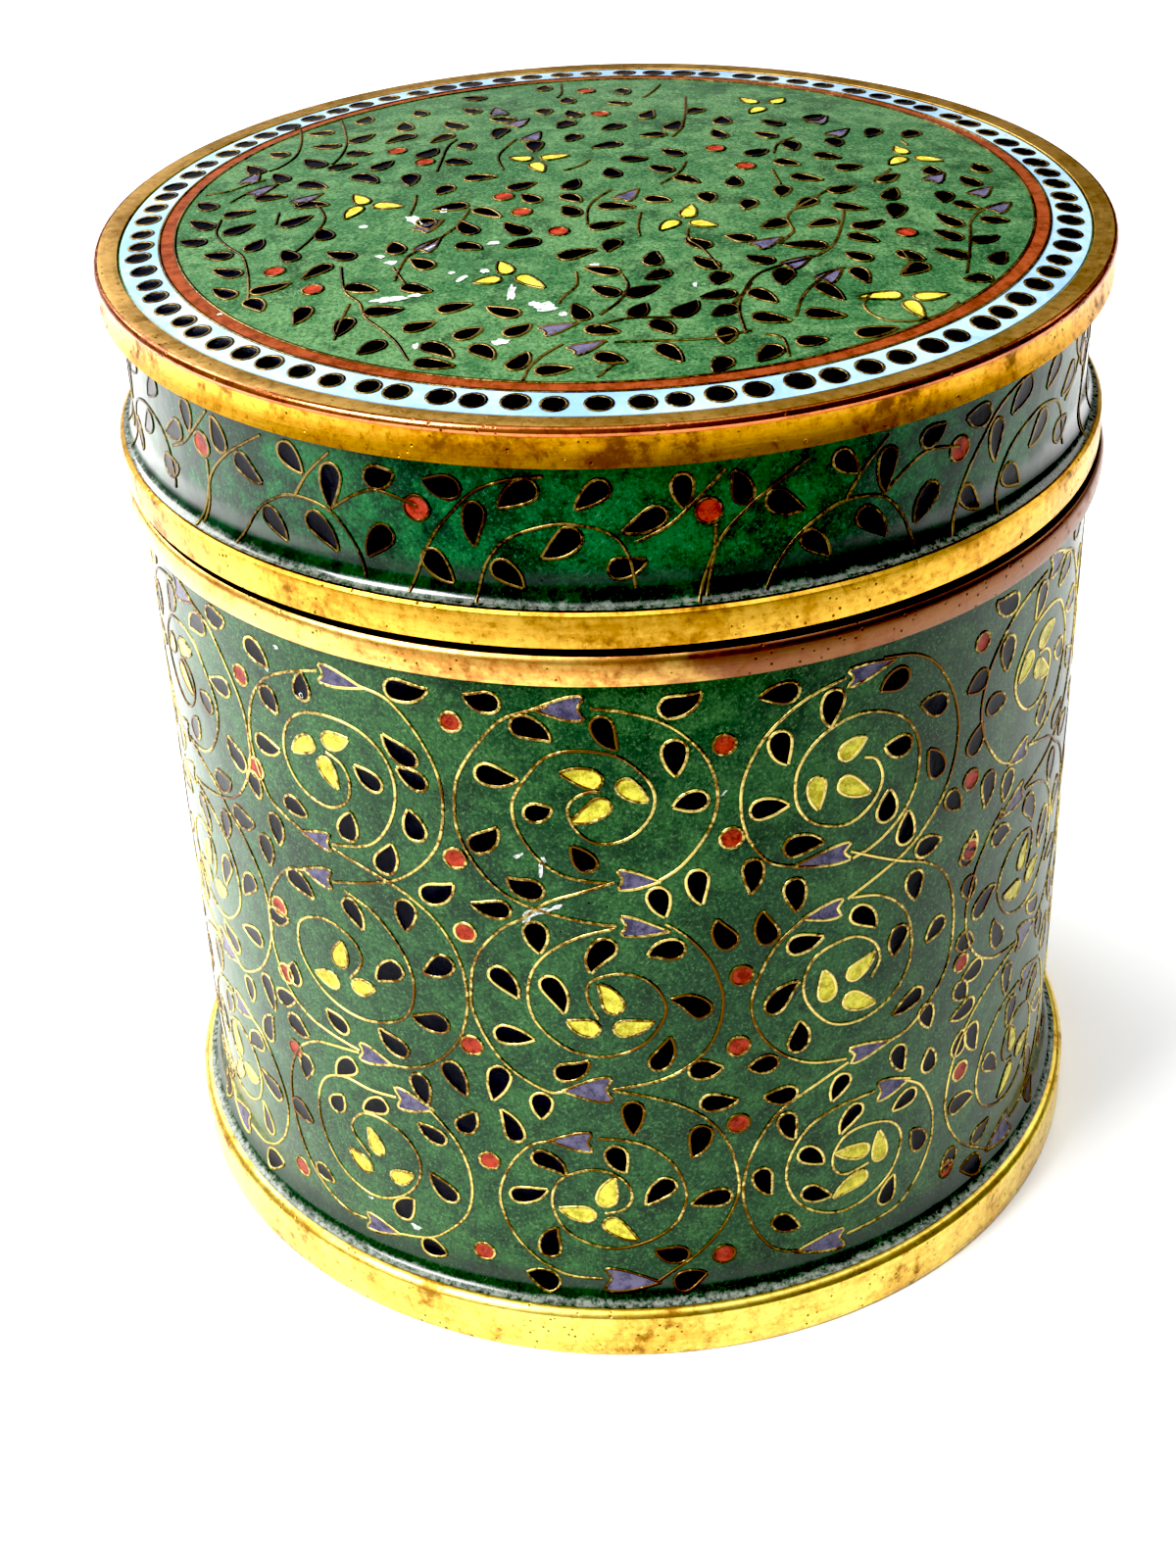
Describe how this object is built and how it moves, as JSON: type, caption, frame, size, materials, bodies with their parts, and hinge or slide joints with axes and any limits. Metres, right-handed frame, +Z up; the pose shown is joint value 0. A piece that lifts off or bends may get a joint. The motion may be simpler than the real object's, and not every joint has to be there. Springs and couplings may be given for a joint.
{
  "type": "cloisonne enamel box",
  "caption": "Round lidded box of enamelled copper with wire-inlaid vine scrolls, brass rims and a lift-off domed lid, for keeping small things.",
  "frame": {"origin": "centre of the foot ring's underside, on the box's axis, at the level of the surface it stands on", "axes": "+Z up along the box's axis towards the lid, -Y towards the side the picture shows, +X to that side's right"},
  "size_m": [0.0946, 0.0946, 0.0993],
  "materials": {
    "rim_brass": "satin",
    "green_enamel": "gloss",
    "pale_enamel": "gloss",
    "wire_brass": "satin",
    "black_enamel": "gloss",
    "yellow_enamel": "gloss",
    "red_enamel": "gloss",
    "lavender_enamel": "gloss",
    "band_enamel": "gloss"
  },
  "bodies": {
    "root": {"foot_ring": "rim_brass", "box_floor": "pale_enamel", "box_wall": "green_enamel", "mouth_rim": "rim_brass", "lid_lower_rim": "rim_brass", "lid_wall": "green_enamel", "lid_top_rim": "rim_brass", "lid_panel": "green_enamel"}
  },
  "joints": []
}
